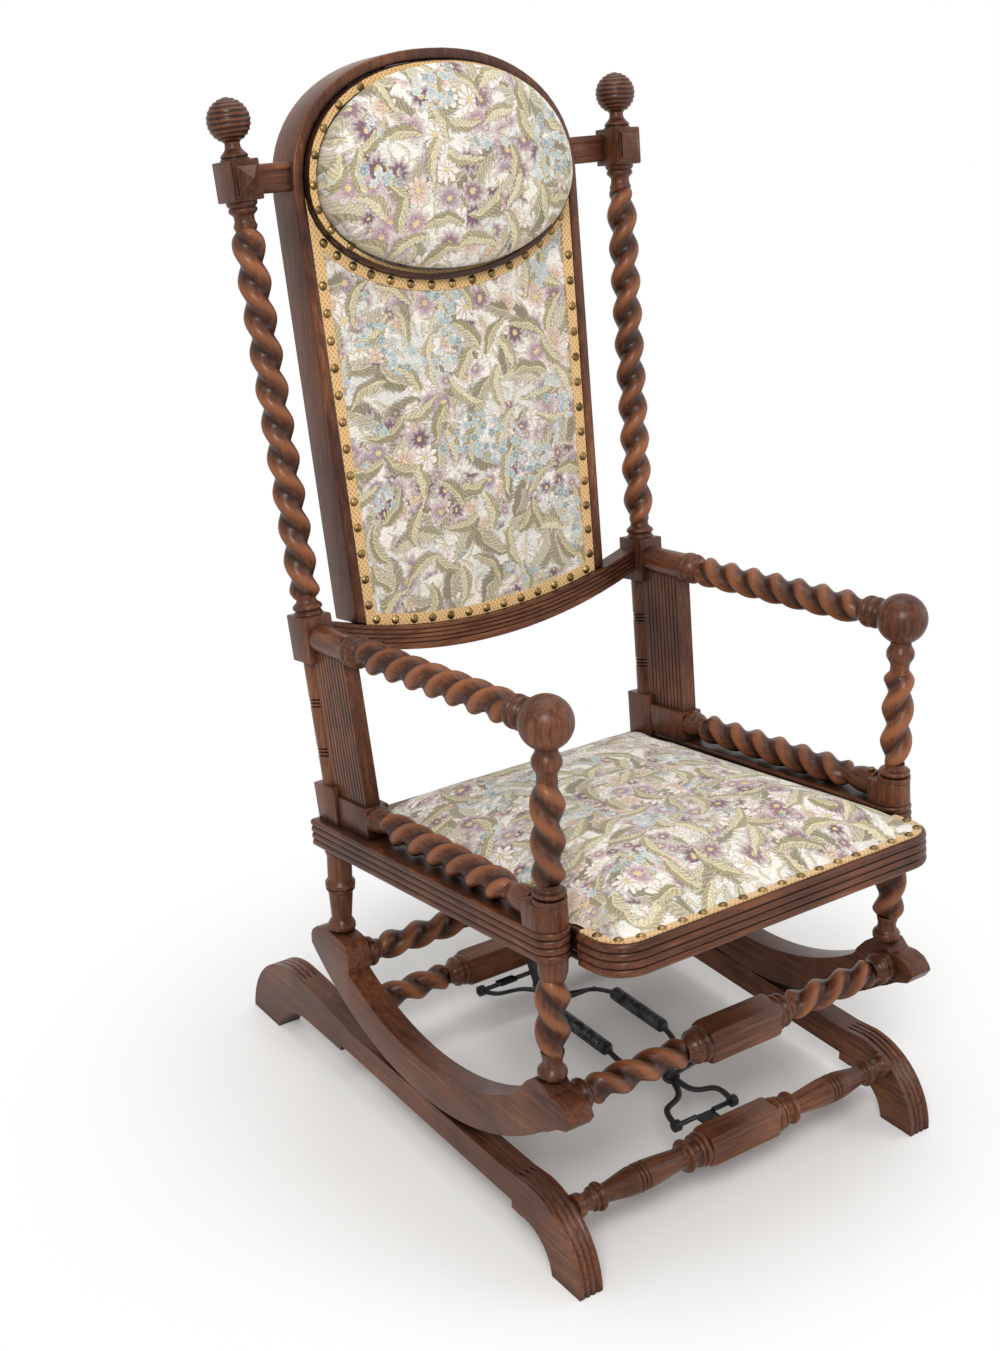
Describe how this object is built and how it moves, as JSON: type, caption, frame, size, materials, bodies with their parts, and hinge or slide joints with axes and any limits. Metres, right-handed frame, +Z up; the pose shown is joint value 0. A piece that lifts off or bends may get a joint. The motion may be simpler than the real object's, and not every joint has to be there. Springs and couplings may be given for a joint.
{
  "type": "platform rocker",
  "caption": "Upholstered platform rocking chair with twist-turned posts, arched padded back, and a sprung rocker base.",
  "frame": {"origin": "centre of the overall box on the floor, under the middle of the base", "axes": "+Z up; -Y is the front, where the sitter's knees point; +X is the sitter's left. The names left and right are as seen from the front, so the left pieces are on -X"},
  "size_m": [0.5716, 0.7205, 1.1946],
  "materials": {
    "wood": "satin",
    "dark_wood": "satin",
    "iron": "dusty",
    "spring_steel": "dull",
    "tapestry": "woven",
    "gimp": "woven",
    "webbing": "woven",
    "brass": "aged"
  },
  "bodies": {
    "platform": {"base_rail_left": "wood", "base_rail_right": "wood", "base_stretcher_front": "wood", "base_stretcher_rear": "wood", "hinge_rod_front": "iron", "hinge_rod_rear": "iron", "spring_left": "spring_steel", "spring_right": "spring_steel"},
    "chair": {"link_strap_front": "iron", "link_strap_rear": "iron", "rocker_left": "wood", "rocker_right": "wood", "rocker_stretcher_front": "wood", "rocker_stretcher_rear": "wood", "rear_leg_left": "wood", "rear_leg_right": "wood", "front_leg_left": "wood", "front_leg_right": "wood", "side_rail_left": "wood", "side_rail_right": "wood", "post_block_left": "wood", "post_block_right": "wood", "arm_post_left": "wood", "arm_post_right": "wood", "arm_ball_left": "wood", "arm_ball_right": "wood", "arm_left": "wood", "arm_right": "wood", "lower_side_rail_left": "wood", "lower_side_rail_right": "wood", "rail_screws": "brass", "back_post_left": "wood", "back_post_right": "wood", "finial_left": "wood", "finial_right": "wood", "pyramid_boss_left": "wood", "pyramid_boss_right": "wood", "panel_block_left": "wood", "panel_block_right": "wood", "side_panel_left": "wood", "side_panel_right": "wood", "seat_frame": "wood", "seat_webbing": "webbing", "seat_pad": "tapestry", "seat_gimp": "gimp", "seat_nails": "brass", "back_frame": "wood", "cross_bar_left": "wood", "cross_bar_right": "wood", "lower_back_rail": "wood", "back_pad": "tapestry", "back_gimp": "gimp", "back_nails": "brass", "headrest_rim": "dark_wood", "headrest_gimp": "gimp", "headrest_cushion": "tapestry", "headrest_nails": "brass"},
    "lever_front": {"lever_front": "iron"},
    "lever_rear": {"lever_rear": "iron"}
  },
  "joints": [
    {"name": "rocking", "type": "hinge", "parent": "platform", "child": "chair", "pos_m": [0, -0.0441, 0.4614], "axis": [1, 0, 0], "range_deg": [-8, 8], "stiffness_Nm_per_rad": 120, "deforming": ["link_strap_front", "link_strap_rear"]},
    {"name": "lever_front_swing", "type": "hinge", "parent": "platform", "child": "lever_front", "pos_m": [0, -0.2421, 0.066], "axis": [1, 0, 0], "range_deg": [-21, 21], "deforming": ["spring_left"]},
    {"name": "lever_rear_swing", "type": "hinge", "parent": "platform", "child": "lever_rear", "pos_m": [0, 0.1459, 0.049], "axis": [1, 0, 0], "range_deg": [-13, 13], "deforming": ["spring_right"]}
  ],
  "couplings": [
    {"joint": "lever_front_swing", "follows": "rocking", "ratio": -2.5},
    {"joint": "lever_rear_swing", "follows": "rocking", "ratio": -1.5}
  ]
}
